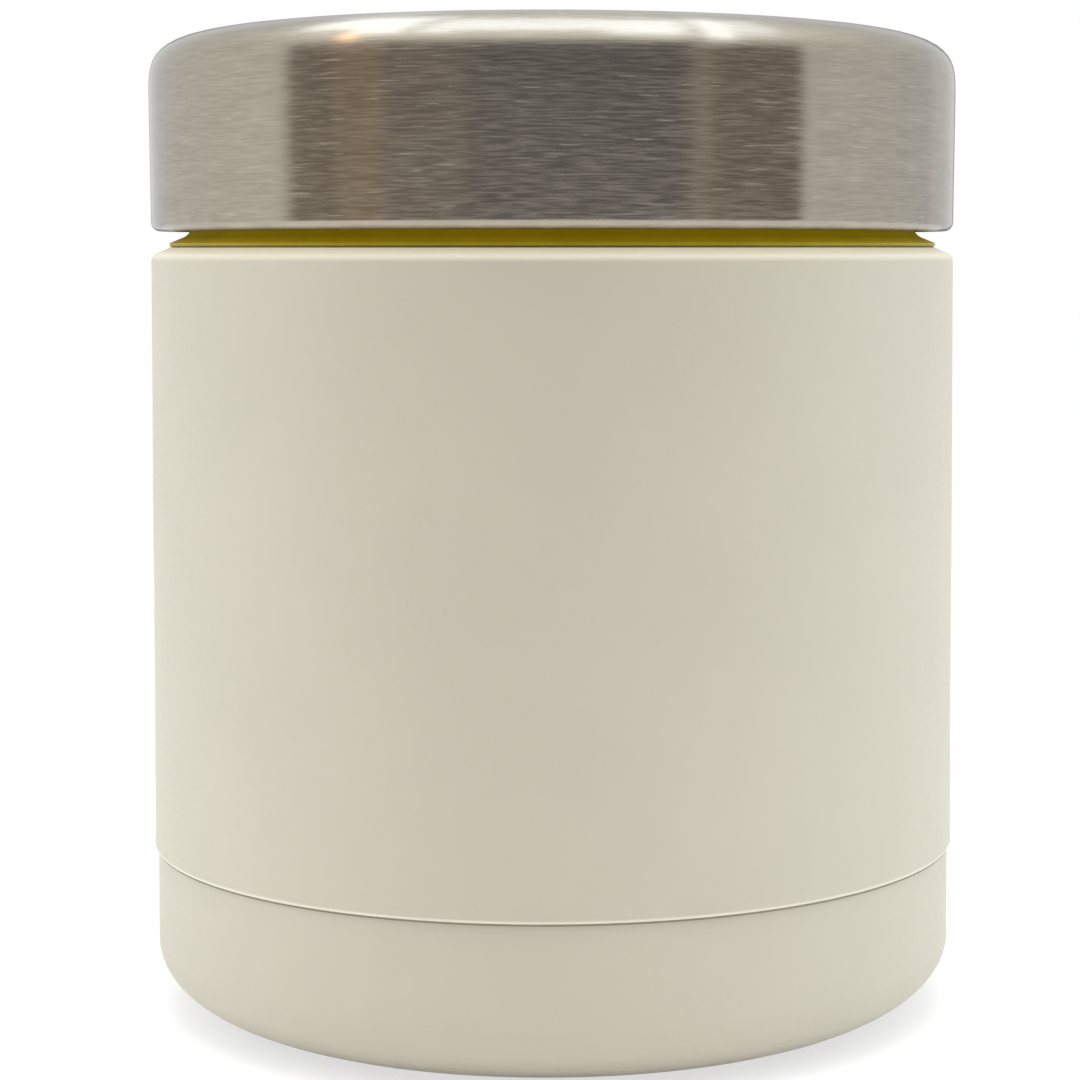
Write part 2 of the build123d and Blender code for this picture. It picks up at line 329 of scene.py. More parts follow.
def makeTurningMarks():
    # Fine lines that run round the axis, as a lathe or a brush leaves them
    wanted = [
        ("Lines", "NodeSocketFloat", 4000.0),
        ("Breaks", "NodeSocketFloat", 8.0),
        ("Detail", "NodeSocketFloat", 2.0),
        ("Low", "NodeSocketFloat", 0.3),
        ("High", "NodeSocketFloat", 0.7),
        ("Wave", "NodeSocketFloat", 0.0),
    ]
    t, given, result = newGroup("turningMarks", wanted, [("Marks", "NodeSocketFloat")])
    place = t.add("ShaderNodeTexCoord").outputs["Object"]
    x, y, z = t.add("ShaderNodeSeparateXYZ", {0: place}).outputs
    squares = t.math("ADD", t.math("MULTIPLY", x, x), t.math("MULTIPLY", y, y))
    radius = t.math("MAXIMUM", t.math("SQRT", squares), marksLook["innermost"])
    drift = t.math("SUBTRACT", t.noise(place, marksLook["waveScale"], 1.0), 0.5)
    drift = t.math("MULTIPLY", drift, given.outputs["Wave"])
    along = t.math("ADD", t.math("SUBTRACT", z, radius), drift)
    along = t.math("MULTIPLY", along, given.outputs["Lines"])
    roundX = t.math("MULTIPLY", t.math("DIVIDE", x, radius), given.outputs["Breaks"])
    roundY = t.math("MULTIPLY", t.math("DIVIDE", y, radius), given.outputs["Breaks"])
    spot = t.add("ShaderNodeCombineXYZ", {0: roundX, 1: roundY, 2: along})
    noise = t.noise(spot.outputs[0], 1.0, given.outputs["Detail"])
    t.feed(t.ramp(noise, given.outputs["Low"], given.outputs["High"]), result.inputs["Marks"])
    return t.tree


def makeGrain():
    # Even grain of a given size, for paint, rubber and moulded plastic
    wanted = [
        ("Size", "NodeSocketFloat", 0.0005),
        ("Detail", "NodeSocketFloat", 2.0),
        ("Low", "NodeSocketFloat", 0.3),
        ("High", "NodeSocketFloat", 0.7),
    ]
    t, given, result = newGroup("grain", wanted, [("Grain", "NodeSocketFloat")])
    place = t.add("ShaderNodeTexCoord").outputs["Object"]
    scale = t.math("DIVIDE", 1.0, given.outputs["Size"])
    noise = t.noise(place, scale, given.outputs["Detail"])
    t.feed(t.ramp(noise, given.outputs["Low"], given.outputs["High"]), result.inputs["Grain"])
    return t.tree


def makeEdgeWear():
    # Mask of outward edges, broken up by a coarse noise
    wanted = [
        ("Start", "NodeSocketFloat", 0.52),
        ("End", "NodeSocketFloat", 0.6),
        ("Size", "NodeSocketFloat", 0.004),
        ("Detail", "NodeSocketFloat", 3.0),
        ("Low", "NodeSocketFloat", 0.35),
        ("High", "NodeSocketFloat", 0.65),
    ]
    t, given, result = newGroup("edgeWear", wanted, [("Wear", "NodeSocketFloat")])
    bend = t.add("ShaderNodeNewGeometry").outputs["Pointiness"]
    place = t.add("ShaderNodeTexCoord").outputs["Object"]
    scale = t.math("DIVIDE", 1.0, given.outputs["Size"])
    noise = t.noise(place, scale, given.outputs["Detail"])
    edge = t.ramp(bend, given.outputs["Start"], given.outputs["End"])
    patches = t.ramp(noise, given.outputs["Low"], given.outputs["High"])
    t.feed(t.math("MULTIPLY", edge, patches), result.inputs["Wear"])
    return t.tree


groups = {"marks": makeTurningMarks(), "grain": makeGrain(), "wear": makeEdgeWear()}


class Finish(NodeTree):
    # A material that starts from the Principled shader
    def __init__(self, name, **plain):
        self.material = bpy.data.materials.new(name)
        self.material.use_nodes = True
        super().__init__(self.material.node_tree)
        self.shader = self.tree.nodes["Principled BSDF"]
        for socket, value in plain.items():
            self.shader.inputs[socket.replace("_", " ")].default_value = value

    def effect(self, name, **values):
        node = self.add("ShaderNodeGroup", node_tree=groups[name])
        for socket, value in values.items():
            self.feed(value, node.inputs[socket])
        return node.outputs[0]

    def height(self):
        place = self.add("ShaderNodeTexCoord").outputs["Object"]
        return self.add("ShaderNodeSeparateXYZ", {0: place}).outputs[2]

    def join(self, first, second, share):
        # Two masks in one, of which the second takes the given share
        kept = self.math("MULTIPLY", first, 1 - share)
        added = self.math("MULTIPLY", second, share)
        return self.math("ADD", kept, added)

    def bump(self, height, distance, below=None):
        inputs = {"Height": height, "Distance": distance}
        if below is not None:
            inputs["Normal"] = below
        return self.add("ShaderNodeBump", inputs).outputs[0]

    def put(self, **sockets):
        for socket, value in sockets.items():
            self.feed(value, self.shader.inputs[socket.replace("_", " ")])
        return self.material


# In the finishes, grain sizes, waves and bump heights are in metres, and lines are per metre.
# The widths and heights of the seam, its edge and the lip are in millimetres

paintLook = {
    "colour": (0.461, 0.431, 0.343),
    "shade": (0.447, 0.419, 0.333),
    "roughness": (0.44, 0.54),
    "cloud": {"Size": 0.016, "Detail": 3.0, "Low": 0.3, "High": 0.7},
    "speck": {"Size": 0.00042, "Detail": 2.0, "Low": 0.35, "High": 0.65},
    "speckShare": 0.035,
    "speckGain": 1.12,
    "speckHeight": 0.0000045,
    "wave": {"Size": 0.0030, "Detail": 1.0, "Low": 0.0, "High": 1.0},
    "waveHeight": 0.000006,
    "wear": {"Start": 0.53, "End": 0.60, "Size": 0.006},
    "wearShine": 0.08,
    "seamPaintedShade": (0.21, 0.195, 0.12),
    "seamWidth": 0.24,
    "seamMargins": (0.01, 0.005),
    "seamHighlightColour": (0.60, 0.575, 0.485),
    "seamHighlightWidth": 0.24,
    "seamHighlightSoft": 0.1,
}


def creamPaint():
    look = paintLook
    f = Finish("creamPaint", Metallic=0.0, IOR=1.5)
    cloud = f.effect("grain", **look["cloud"])
    speck = f.effect("grain", **look["speck"])
    wave = f.effect("grain", **look["wave"])
    wear = f.effect("wear", **look["wear"])
    colour = f.mix(cloud, rgba(look["shade"]), rgba(look["colour"]))
    speckled = f.math("MULTIPLY", speck, look["speckShare"])
    colour = f.mix(speckled, colour, rgba(look["colour"], look["speckGain"]))
    # The seam groove is painted dark, as painted shade between the shell and the base cup
    height = f.height()
    seamLow = topOf("base_cup") * mm
    seamHigh = seamLow + look["seamWidth"] * mm
    lowMargin, highMargin = look["seamMargins"]
    over = f.math("GREATER_THAN", height, seamLow + lowMargin * mm)
    under = f.math("LESS_THAN", height, seamHigh - highMargin * mm)
    # Painted shade: the recessed face in the seam is coloured dark
    colour = f.mix(f.math("MULTIPLY", over, under), colour, rgba(look["seamPaintedShade"]))
    # A strip of the rolled edge just above the seam is painted lighter, as a painted highlight
    highlightTop = seamHigh + look["seamHighlightWidth"] * mm
    highlightFade = f.ramp(height, highlightTop, highlightTop + look["seamHighlightSoft"] * mm, 1.0, 0.0)
    edge = f.math("MULTIPLY", f.math("SUBTRACT", 1.0, under), highlightFade)
    colour = f.mix(edge, colour, rgba(look["seamHighlightColour"]))
    rough = f.ramp(speck, 0.0, 1.0, *look["roughness"])
    rough = f.math("SUBTRACT", rough, f.math("MULTIPLY", wear, look["wearShine"]))
    normal = f.bump(wave, look["waveHeight"])
    normal = f.bump(speck, look["speckHeight"], below=normal)
    return f.put(Base_Color=colour, Roughness=rough, Normal=normal)


brushedLook = {
    "colour": (0.450, 0.410, 0.326),
    "shade": (0.345, 0.312, 0.248),
    "edgeTint": (0.80, 0.82, 0.85),
    "roughness": (0.16, 0.24),
    "anisotropy": 0.85,
    "wave": 0.0001,
    "fine": {"Lines": 5200.0, "Breaks": 15.0, "Detail": 3.0, "Low": 0.28, "High": 0.72},
    "fineHeight": 0.0000018,
    "broad": {"Lines": 900.0, "Breaks": 5.0, "Detail": 3.0, "Low": 0.3, "High": 0.7},
    "broadShare": 0.35,
    "hairline": {"Lines": 6200.0, "Breaks": 12.0, "Detail": 0.0, "Low": 0.71, "High": 0.82},
    "hairlineGlintColour": (0.62, 0.57, 0.48),
    "hairlineShare": 0.35,
    "hairlineRoughness": 0.12,
    "smudge": {"Size": 0.022, "Detail": 3.0, "Low": 0.35, "High": 0.7},
    "smudgeRoughness": 0.02,
    "lipHeight": 1.0,
    "lipSoft": 0.2,
    "lipPaintedShade": (0.97, 0.96, 1.0),
}


def brushedSteel():
    look = brushedLook
    f = Finish("brushedSteel", Metallic=1.0, Anisotropic=look["anisotropy"])
    f.put(Specular_Tint=rgba(look["edgeTint"]))
    fine = f.effect("marks", Wave=look["wave"], **look["fine"])
    broad = f.effect("marks", Wave=look["wave"], **look["broad"])
    hairline = f.effect("marks", Wave=look["wave"], **look["hairline"])
    smudge = f.effect("grain", **look["smudge"])
    shade = f.join(fine, broad, look["broadShare"])
    colour = f.mix(shade, rgba(look["shade"]), rgba(look["colour"]))
    # The hairline scratches are rougher, and are also painted lighter as painted glints of the bright
    # ceiling
    paintedGlint = f.math("MULTIPLY", hairline, look["hairlineShare"])
    colour = f.mix(paintedGlint, colour, rgba(look["hairlineGlintColour"]))
    # The rolled lip is painted a little darker, as painted shade that dims its reflection of the floor
    lipTop = (bottomOf("lid_cover") + look["lipHeight"]) * mm
    lip = f.ramp(f.height(), lipTop - look["lipSoft"] * mm, lipTop, 1.0, 0.0)
    colour = f.mix(lip, colour, rgba(look["lipPaintedShade"]), "MULTIPLY")
    rough = f.ramp(fine, 0.0, 1.0, *look["roughness"])
    rough = f.math("ADD", rough, f.math("MULTIPLY", smudge, look["smudgeRoughness"]))
    rough = f.math("ADD", rough, f.math("MULTIPLY", hairline, look["hairlineRoughness"]))
    normal = f.bump(fine, look["fineHeight"])
    tangent = f.add("ShaderNodeTangent", direction_type="UV_MAP", uv_map="turned").outputs[0]
    return f.put(Base_Color=colour, Roughness=rough, Normal=normal, Tangent=tangent)


satinLook = {
    "colour": (0.66, 0.645, 0.61),
    "shade": (0.58, 0.565, 0.535),
    "roughness": (0.24, 0.36),
    "anisotropy": 0.5,
    "fine": {"Lines": 3600.0, "Breaks": 3.0, "Detail": 2.0, "Low": 0.3, "High": 0.7},
    "fineHeight": 0.0000030,
    "broad": {"Lines": 260.0, "Breaks": 1.2, "Detail": 2.0, "Low": 0.3, "High": 0.7},
    "broadShare": 0.5,
    "wear": {"Start": 0.53, "End": 0.60, "Size": 0.003},
    "wearShare": 0.5,
    "wearGain": 1.25,
}


def satinSteel():
    look = satinLook
    f = Finish("satinSteel", Metallic=1.0, Anisotropic=look["anisotropy"])
    fine = f.effect("marks", **look["fine"])
    broad = f.effect("marks", **look["broad"])
    wear = f.effect("wear", **look["wear"])
    shade = f.join(fine, broad, look["broadShare"])
    colour = f.mix(shade, rgba(look["shade"]), rgba(look["colour"]))
    worn = f.math("MULTIPLY", wear, look["wearShare"])
    colour = f.mix(worn, colour, rgba(look["colour"], look["wearGain"]))
    rough = f.ramp(broad, 0.0, 1.0, *look["roughness"])
    return f.put(Base_Color=colour, Roughness=rough, Normal=f.bump(fine, look["fineHeight"]))


rubberLooks = {
    "oliveSilicone": {
        "colour": (0.35, 0.268, 0.003),
        "shade": (0.315, 0.240, 0.002),
        "roughness": (0.50, 0.62),
        "sheen": 0.0,
    },
    "sealSilicone": {
        "colour": (0.72, 0.72, 0.69),
        "shade": (0.66, 0.66, 0.63),
        "roughness": (0.34, 0.46),
        "sheen": 0.05,
    },
}
rubberMarks = {
    "cloud": {"Size": 0.006, "Detail": 3.0, "Low": 0.3, "High": 0.7},
    "fine": {"Size": 0.00018, "Detail": 2.0, "Low": 0.3, "High": 0.7},
    "fineHeight": 0.0000025,
    "mould": {"Lines": 1500.0, "Breaks": 2.0, "Detail": 1.0, "Low": 0.3, "High": 0.7},
    "mouldHeight": 0.0000030,
}


def softRubber(name):
    look = rubberLooks[name]
    f = Finish(name, Metallic=0.0, IOR=1.42, Sheen_Weight=look["sheen"])
    cloud = f.effect("grain", **rubberMarks["cloud"])
    fine = f.effect("grain", **rubberMarks["fine"])
    mould = f.effect("marks", **rubberMarks["mould"])
    colour = f.mix(cloud, rgba(look["shade"]), rgba(look["colour"]))
    rough = f.ramp(fine, 0.0, 1.0, *look["roughness"])
    normal = f.bump(fine, rubberMarks["fineHeight"])
    normal = f.bump(mould, rubberMarks["mouldHeight"], below=normal)
    return f.put(Base_Color=colour, Roughness=rough, Normal=normal)


plasticLook = {
    "colour": (0.52, 0.50, 0.46),
    "shade": (0.48, 0.465, 0.43),
    "roughness": (0.36, 0.48),
    "spark": {"Size": 0.00030, "Detail": 2.0, "Low": 0.3, "High": 0.7},
    "sparkHeight": 0.0000040,
    "cloud": {"Size": 0.012, "Detail": 2.0, "Low": 0.3, "High": 0.7},
    "scuff": {"Lines": 1900.0, "Breaks": 10.0, "Detail": 0.0, "Low": 0.68, "High": 0.82},
    "scuffShare": 0.12,
    "scuffGain": 1.2,
}


def mouldedPlastic():
    look = plasticLook
    f = Finish("linerPlastic", Metallic=0.0, IOR=1.49)
    spark = f.effect("grain", **look["spark"])
    cloud = f.effect("grain", **look["cloud"])
    scuff = f.effect("marks", **look["scuff"])
    colour = f.mix(cloud, rgba(look["shade"]), rgba(look["colour"]))
    scuffed = f.math("MULTIPLY", scuff, look["scuffShare"])
    colour = f.mix(scuffed, colour, rgba(look["colour"], look["scuffGain"]))
    rough = f.ramp(spark, 0.0, 1.0, *look["roughness"])
    return f.put(Base_Color=colour, Roughness=rough, Normal=f.bump(spark, look["sparkHeight"]))


foamLook = {
    "colour": (0.86, 0.85, 0.81),
    "shade": (0.70, 0.69, 0.65),
    "roughness": (0.95, 0.8),
    "cellsPerMetre": 620.0,
    "skin": 0.12,
    "cellHeight": 0.00006,
}


def foamFill():
    look = foamLook
    f = Finish("foamFill", Metallic=0.0, IOR=1.3)
    place = f.add("ShaderNodeTexCoord").outputs["Object"]
    inputs = {"Vector": place, "Scale": look["cellsPerMetre"]}
    cells = f.add("ShaderNodeTexVoronoi", inputs, feature="DISTANCE_TO_EDGE").outputs["Distance"]
    skin = f.ramp(cells, 0.0, look["skin"])
    colour = f.mix(skin, rgba(look["shade"]), rgba(look["colour"]))
    rough = f.ramp(skin, 0.0, 1.0, *look["roughness"])
    return f.put(Base_Color=colour, Roughness=rough, Normal=f.bump(skin, look["cellHeight"]))


foilLook = {
    "colour": (0.76, 0.40, 0.26),
    "shade": (0.52, 0.25, 0.15),
    "roughness": (0.34, 0.16),
    "creases": {"Size": 0.009, "Detail": 5.0, "Low": 0.42, "High": 0.58},
    "creaseHeight": 0.00008,
    "tarnish": {"Size": 0.018, "Detail": 3.0, "Low": 0.3, "High": 0.7},
}


def copperFoil():
    look = foilLook
    f = Finish("copperFoil", Metallic=1.0)
    creases = f.effect("grain", **look["creases"])
    tarnish = f.effect("grain", **look["tarnish"])
    colour = f.mix(tarnish, rgba(look["shade"]), rgba(look["colour"]))
    rough = f.ramp(tarnish, 0.0, 1.0, *look["roughness"])
    return f.put(Base_Color=colour, Roughness=rough, Normal=f.bump(creases, look["creaseHeight"]))


getterLook = {
    "colour": (0.27, 0.26, 0.25),
    "shade": (0.10, 0.095, 0.09),
    "roughness": (0.9, 0.55),
    "metallic": 0.8,
    "ior": 1.5,
    "grain": {"Size": 0.00022, "Detail": 4.0, "Low": 0.35, "High": 0.6},
    "grainHeight": 0.00003,
}
glassLook = {
    "colour": (0.19, 0.20, 0.21),
    "shade": (0.10, 0.11, 0.12),
    "roughness": (0.12, 0.28),
    "metallic": 0.0,
    "ior": 1.6,
    "grain": {"Size": 0.0016, "Detail": 4.0, "Low": 0.3, "High": 0.7},
    "grainHeight": 0.00004,
}


def grainyBead(name, look):
    # The getter's sintered pill, and the fused glass over the evacuation hole
    f = Finish(name, Metallic=look["metallic"], IOR=look["ior"])
    grain = f.effect("grain", **look["grain"])
    colour = f.mix(grain, rgba(look["shade"]), rgba(look["colour"]))
    rough = f.ramp(grain, 0.0, 1.0, *look["roughness"])
    return f.put(Base_Color=colour, Roughness=rough, Normal=f.bump(grain, look["grainHeight"]))


materials = {
    "cream_paint": creamPaint(),
    "brushed_lid_steel": brushedSteel(),
    "plain_steel": satinSteel(),
    "olive_silicone": softRubber("oliveSilicone"),
    "seal_silicone": softRubber("sealSilicone"),
    "liner_plastic": mouldedPlastic(),
    "lid_foam": foamFill(),
    "copper_foil": copperFoil(),
    "getter_alloy": grainyBead("getterPill", getterLook),
    "sealing_glass": grainyBead("sealingGlass", glassLook),
}
print("materials made:", len(materials))


turning = {
    "steps": 192,
    "arcSegments": 7,
    "longestEdge": 2.4,  # millimetres
    "sharpAngle": 38.0,
    "mapScale": 10.0,  # widths of the map per metre
    "touching": 1e-6,  # metres
}


def nextAlong(vert, came):
    for edge in vert.link_edges:
        if edge is not came:
            return edge, edge.other_vert(vert)
    return None, None


def measureOutline(bm, layer):
    # Writes on each corner its distance along the outline, for the piece's own map
    ends = [vert for vert in bm.verts if len(vert.link_edges) == 1]
    start = min(ends or bm.verts, key=lambda vert: vert.co.z)
    vert = start
    edge = None
    length = 0.0
    while True:
        vert[layer] = length
        edge, other = nextAlong(vert, edge)
        if other is None or other is start:
            return length + (edge.calc_length() if edge else 0.0)
        length += edge.calc_length()
        vert = other


def drawOutline(bm, corners, closed):
    # Corners are (radius, height) or (radius, height, rounding), in millimetres
    verts = [bm.verts.new((corner[0] * mm, 0, corner[1] * mm)) for corner in corners]
    for first, second in zip(verts, verts[1:]):
        bm.edges.new((first, second))
    if closed:
        bm.edges.new((verts[-1], verts[0]))
    for vert, corner in zip(verts, corners):
        if len(corner) > 2 and corner[2] > 0:
            roundCorner(bm, vert, corner[2] * mm)


def roundCorner(bm, vert, radius, profile=0.5, segments=turning["arcSegments"]):
    first, second = [edge.other_vert(vert).co - vert.co for edge in vert.link_edges]
    cutBack = radius / tan(first.angle(second) / 2)
    limit = min(first.length, second.length) * 0.998  # leaves a sliver of the shorter side
    bmesh.ops.bevel(
        bm, geom=[vert], offset=min(cutBack, limit), offset_type="OFFSET", affect="VERTICES",
        segments=segments, profile=profile, material=-1,
    )


def splitLongEdges(bm):
    for edge in list(bm.edges):
        cuts = int(edge.calc_length() / (turning["longestEdge"] * mm))
        if cuts > 0:
            bmesh.ops.subdivide_edges(bm, edges=[edge], cuts=cuts)


def spinOutline(bm):
    outline = bm.verts[:] + bm.edges[:]
    bmesh.ops.spin(
        bm, geom=outline, cent=(0, 0, 0), axis=(0, 0, 1), angle=2 * pi, steps=turning["steps"],
        use_merge=True, use_normal_flip=False, use_duplicate=False,
    )
    bmesh.ops.remove_doubles(bm, verts=bm.verts, dist=turning["touching"])


def mapTurned(bm, layer, whole):
    # The piece's own map: across is the distance along the outline, up is the turn
    uvLayer = bm.loops.layers.uv.new("turned")
    for face in bm.faces:
        centre = face.calc_center_median()
        middle = atan2(centre.y, centre.x)
        spread = [loop.vert[layer] for loop in face.loops]
        wraps = max(spread) - min(spread) > whole / 2
        for loop, along in zip(face.loops, spread):
            x, y, _ = loop.vert.co
            turn = atan2(y, x) if hypot(x, y) > turning["touching"] else middle
            turn -= 2 * pi * round((turn - middle) / (2 * pi))
            if wraps and along < whole / 2:
                along += whole
            loop[uvLayer].uv = (along * turning["mapScale"], turn / (2 * pi))


def finishPiece(bm, name, body, nodes, slot, extraSlots=()):
    mesh = bpy.data.meshes.new(name)
    bm.to_mesh(mesh)
    bm.free()
    mesh.shade_smooth()
    mesh.set_sharp_from_angle(angle=radians(turning["sharpAngle"]))
    mesh.materials.append(materials[slot])
    for extra in extraSlots:
        mesh.materials.append(materials[extra])
    piece = bpy.data.objects.new(name, mesh)
    bpy.context.scene.collection.objects.link(piece)
    # Flat walls stay flat to the light beside their rounds
    piece.modifiers.new("evenShading", "WEIGHTED_NORMAL").keep_sharp = True
    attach(piece, body)
    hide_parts(*nodes)
    return piece


def turnedSolid(corners, closed=True, wall=0.0, shape=None):
    bm = bmesh.new()
    layer = bm.verts.layers.float.new("along")
    drawOutline(bm, corners, closed)
    if shape:
        shape(bm)
    splitLongEdges(bm)
    whole = measureOutline(bm, layer)
    spinOutline(bm)
    bmesh.ops.recalc_face_normals(bm, faces=bm.faces)
    mapTurned(bm, layer, whole)
    if wall:
        bmesh.ops.solidify(bm, geom=bm.faces, thickness=wall * mm)
    return bm


def roundStretched(bm, outside, look, side):
    # Rounds the top (1) or bottom (-1) outer corner of an outline: it is squeezed until the
    # corner is as wide as high, and then stretched to its real reach
    squeeze = look["cornerHeight"] / look["cornerReach"]
    edge = Matrix.Translation((-outside * mm, 0, 0))
    bmesh.ops.scale(bm, vec=(squeeze, 1, 1), space=edge, verts=bm.verts)
    corner = max(bm.verts, key=lambda vert: vert.co.x + side * vert.co.z)
    radius = look["cornerHeight"] * mm
    roundCorner(bm, corner, radius, look["cornerProfile"], look["cornerSegments"])
    bmesh.ops.scale(bm, vec=(1 / squeeze, 1, 1), space=edge, verts=bm.verts)


# Lid cover, in millimetres as all the pieces
coverLook = {
    "wall": 0.5,
    "lip": 2.6,
    "flare": 0.2,
    "curl": 1.0,
    "cornerHeight": 7.0,
    "cornerReach": 15.0,
    "cornerProfile": 0.682,
    "cornerSegments": 22,
}


def makeCover():
    look = coverLook
    outside = reach("lid_cover")
    foot = outside - look["flare"]
    top = topOf("lid_cover")
    bottom = bottomOf("lid_cover")
    outline = [
        (0, top),
        (outside, top),
        (outside, top - look["cornerHeight"]),
        (foot, bottom, look["curl"]),
        (foot - look["lip"], bottom),
    ]

    def softenTop(bm):
        roundStretched(bm, outside, look, 1)

    bm = turnedSolid(outline, closed=False, wall=look["wall"], shape=softenTop)
    return finishPiece(bm, "lidCover", "lid", ["lid_cover"], "brushed_lid_steel")


# Painted shell, with the neck and its thread
shellLook = {
    "wall": 0.6,
    "skirtGap": 0.05,
    "seamGrooveDepth": 0.14,
    "seamGrooveGap": 0.02,
    "bead": 0.11,
    "beadWidth": 0.50,
    "hem": 0.25,
    "shoulderSlope": 22.5,
    "shoulderHeight": 83.75,
    "shoulderRound": 0.9,
}


def slopeHeight(radius):
    rise = (reach("outer_shell") - radius) * tan(radians(shellLook["shoulderSlope"]))
    return shellLook["shoulderHeight"] + rise


def makeShell():
    look = shellLook
    outside = reach("outer_shell")
    neck = reach("inner_vessel")
    seam = topOf("base_cup") + paintLook["seamWidth"]
    skirt = reach("vacuum_bottom") + look["wall"] + look["skirtGap"]
    grooveFloor = topOf("base_cup") + look["seamGrooveGap"]
    outline = [
        (skirt, bottomOf("outer_shell")),
        (skirt, grooveFloor),
        (outside - look["seamGrooveDepth"], grooveFloor),
        (outside - look["seamGrooveDepth"], seam),
        (outside, seam, look["hem"] / 2),
        (outside + look["bead"], seam + look["beadWidth"] / 2, look["hem"]),
        (outside, seam + look["beadWidth"]),
        (outside, look["shoulderHeight"], look["shoulderRound"]),
        (neck, slopeHeight(neck)),
        (neck, topOf("outer_shell")),
    ]
    bm = turnedSolid(outline, closed=False, wall=look["wall"])
    addThread(bm, neck)
    # The neck and the inner side are bare steel
    paintTop = slopeHeight(neck) * mm
    for face in bm.faces:
        centre = face.calc_center_median()
        isSteel = centre.z > paintTop or face.normal.dot(Vector((centre.x, centre.y, 0))) < 0
        face.material_index = 1 if isSteel else 0
    return finishPiece(bm, "paintedShell", "jar", ["outer_shell"], "cream_paint", ["plain_steel"])


threadLook = {
    "lead": 8.0,
    "turns": 0.9,
    "starts": 2,
    "depth": 1.1,
    "root": 1.7,
    "crest": 0.9,
    "sink": 0.25,
    "bottom": 91.01,
    "stepsPerTurn": 120,
    "endSteps": 5,
    "endTip": 0.02,
}


def addThread(bm, wall):
    # Ridges swept up the wall by a spin with a rise, and rounded off at both ends
    look = threadLook
    steps = int(look["stepsPerTurn"] * look["turns"])
    sweep = 2 * pi * look["turns"]
    rise = look["lead"] * look["turns"] * mm
    halfRoot = look["root"] / 2
    halfCrest = look["crest"] / 2
    tip = wall + look["depth"]
    foot = wall - look["sink"]
    section = [
        (foot, -halfRoot),
        (wall, -halfRoot),
        (tip, -halfCrest),
        (tip, halfCrest),
        (wall, halfRoot),
        (foot, halfRoot),
    ]
    for start in range(look["starts"]):
        turn = Matrix.Rotation(2 * pi * start / look["starts"], 4, "Z")
        lift = Matrix.Translation((0, 0, look["bottom"] * mm))
        verts = [bm.verts.new((radius * mm, 0, height * mm)) for radius, height in section]
        edges = [bm.edges.new((verts[i], verts[i - 1])) for i in range(len(verts))]
        bmesh.ops.transform(bm, matrix=lift @ turn, verts=verts)
        swept = bmesh.ops.spin(
            bm, geom=verts + edges, cent=(0, 0, 0), axis=(0, 0, 1), dvec=(0, 0, rise / steps),
            angle=sweep, steps=steps, use_merge=False, use_normal_flip=False, use_duplicate=False,
        )
        last = [item for item in swept["geom_last"] if isinstance(item, bmesh.types.BMEdge)]
        roundEnd(bm, edges, wall, -1)
        roundEnd(bm, last, wall, 1)


def roundEnd(bm, edges, wall, sense):
    # Draws the end of a ridge in, along a quarter circle
    look = threadLook
    reachOut = look["root"] / 2 * mm
    corners = {vert for edge in edges for vert in edge.verts}
    centre = sum((vert.co for vert in corners), Vector()) / len(corners)
    outward = Vector((centre.x, centre.y, 0)).normalized()
    centre = outward * wall * mm + Vector((0, 0, centre.z))
    along = Vector((0, 0, 1)).cross(outward) * sense
    along.z = sense * look["lead"] / (2 * pi * wall)
    gone = 0.0
    size = 1.0
    for step in range(1, look["endSteps"] + 1):
        bend = radians(90) * step / look["endSteps"]
        result = bmesh.ops.extrude_edge_only(bm, edges=edges)
        verts = [item for item in result["geom"] if isinstance(item, bmesh.types.BMVert)]
        edges = [item for item in result["geom"] if isinstance(item, bmesh.types.BMEdge)]
        edges = [edge for edge in edges if edge.verts[0] in verts and edge.verts[1] in verts]
        newSize = max(cos(bend), look["endTip"])
        shift = along * (sin(bend) * reachOut - gone)
        bmesh.ops.translate(bm, vec=shift, verts=verts)
        centre = centre + shift
        scaling = Vector((1, 1, 1)) * newSize / size
        bmesh.ops.scale(bm, vec=scaling, space=Matrix.Translation(-centre), verts=verts)
        gone = sin(bend) * reachOut
        size = newSize
    bmesh.ops.contextual_create(bm, geom=edges)


# Base cup
baseLook = {
    "wall": 0.6,
    "cornerHeight": 7.5,
    "cornerReach": 11.8,
    "cornerProfile": 0.5,
    "cornerSegments": 16,
    "footWidth": 6.0,
    "footDepth": 1.2,
    "footSlope": 2.0,
    "footRound": 0.8,
}


def makeBase():
    look = baseLook
    outside = reach("base_cup")
    foot = outside - look["cornerReach"]
    inner = foot - look["footWidth"]
    recess = inner - look["footSlope"]
    outline = [
        (0, look["footDepth"]),
        (recess, look["footDepth"], look["footRound"]),
        (inner, 0, look["footRound"]),
        (outside, 0),
        (outside, topOf("base_cup")),
    ]

    def softenFoot(bm):
        roundStretched(bm, outside, look, -1)

    bm = turnedSolid(outline, closed=False, wall=look["wall"], shape=softenFoot)
    return finishPiece(bm, "baseCup", "jar", ["base_cup"], "cream_paint")


# Olive band at the foot of the neck
bandLook = {
    "wall": 0.6,
    "foot": 2.5,
    "footEdge": 0.32,
    "undercut": 0.25,
    "undercutHeight": 0.2,
    "footRound": 0.1,
    "cove": 1.6,
    "edgeRound": 0.25,
}


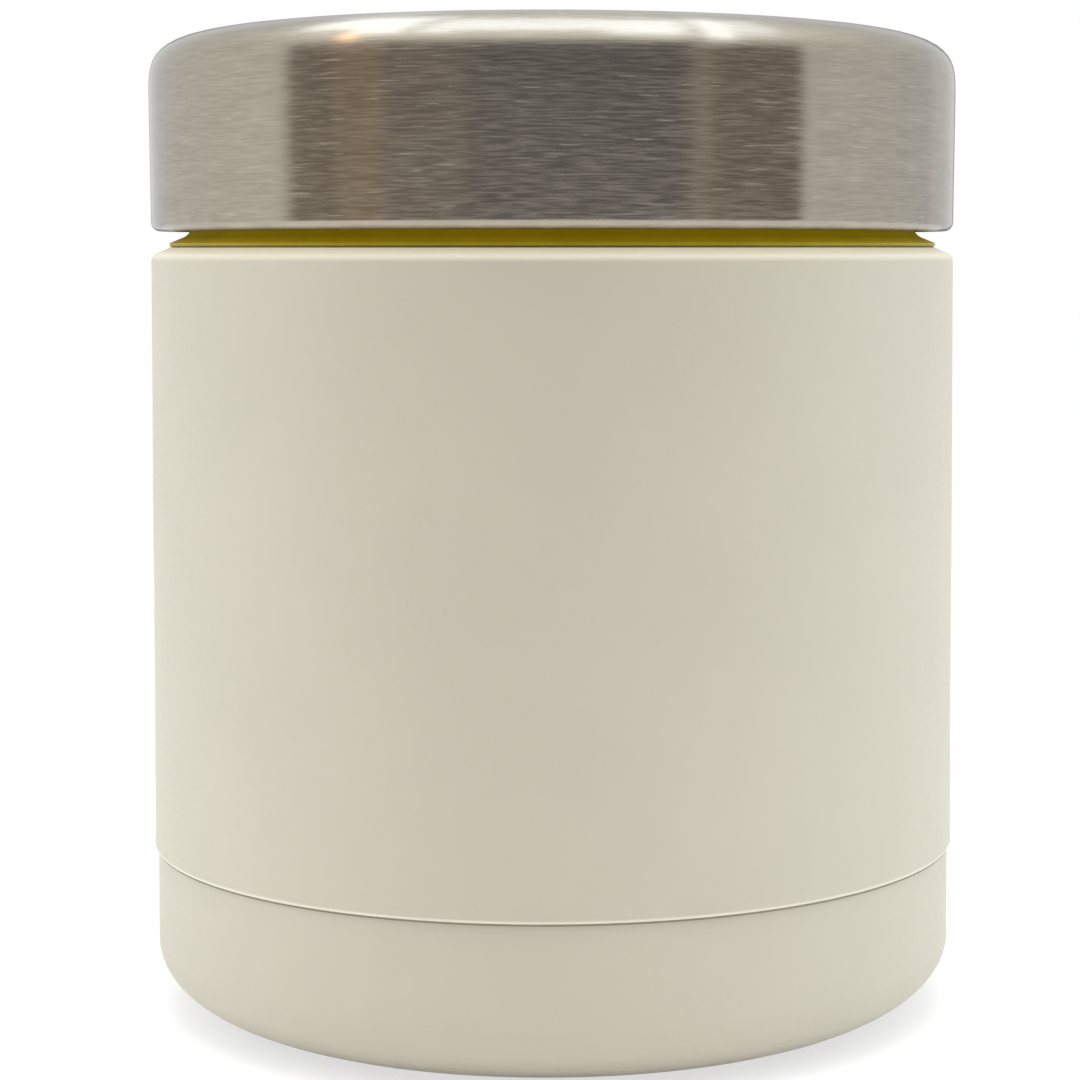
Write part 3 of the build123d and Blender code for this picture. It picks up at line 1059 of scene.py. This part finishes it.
def makeBand():
    look = bandLook
    neck = reach("inner_vessel")
    wall = neck + look["wall"]
    foot = wall + look["foot"]
    seat = foot - look["undercut"]
    lip = slopeHeight(foot) + look["undercutHeight"]
    top = topOf("neck_band")
    outline = [
        (neck, slopeHeight(neck)),
        (seat, slopeHeight(seat)),
        (foot, lip),
        (foot, lip + look["footEdge"], look["footRound"]),
        (wall, slopeHeight(wall) + look["undercutHeight"] + look["footEdge"], look["cove"]),
        (wall, top, look["edgeRound"]),
        (neck, top, look["edgeRound"]),
    ]
    bm = turnedSolid(outline)
    return finishPiece(bm, "oliveBand", "jar", ["neck_band"], "olive_silicone")


# Food vessel
vesselLook = {
    "wall": 0.5,
    "floorRound": 8.0,
    "rim": 1.0,
    "rimRound": 0.45,
    "bore": 37.9,
}


def makeVessel():
    look = vesselLook
    rim = reach("inner_vessel")
    top = topOf("inner_vessel")
    bottom = bottomOf("inner_vessel")
    outside = look["bore"] + look["wall"]
    outline = [
        (0, bottom),
        (outside, bottom, look["floorRound"] + look["wall"]),
        (outside, top - look["rim"]),
        (rim, top - look["rim"]),
        (rim, top, look["rimRound"]),
        (look["bore"], top, look["rimRound"]),
        (look["bore"], bottom + look["wall"], look["floorRound"]),
        (0, bottom + look["wall"]),
    ]
    bm = turnedSolid(outline, closed=False)
    return finishPiece(bm, "foodVessel", "jar", ["inner_vessel"], "plain_steel")


makeCover()
shell = makeShell()
jarPieces = [shell, makeBase(), makeBand(), makeVessel()]
print("turned pieces made")


def collect(name, pieces):
    group = bpy.data.collections.new(name)
    for piece in pieces:
        group.objects.link(piece)
    return group


def keepShoulderLit():
    # The shoulder lies close under the lid, which casts no shadow on it from these two lamps
    blockers = collect("shoulderBlockers", jarPieces)
    for name in ("frontLamp", "shoulderLamp"):
        bpy.data.objects[name].light_linking.blocker_collection = blockers
    lit = collect("shoulderReceivers", [shell])
    bpy.data.objects["shoulderLamp"].light_linking.receiver_collection = lit


keepShoulderLit()


def dressNodes():
    # The other nodes keep their shape and only get their finish
    for row in frame["record"]["subparts"]:
        node = frame["nodes"][row["node"]]
        node.data.materials.clear()
        node.data.materials.append(materials[row["material_slot"]])


dressNodes()
print("nodes dressed")
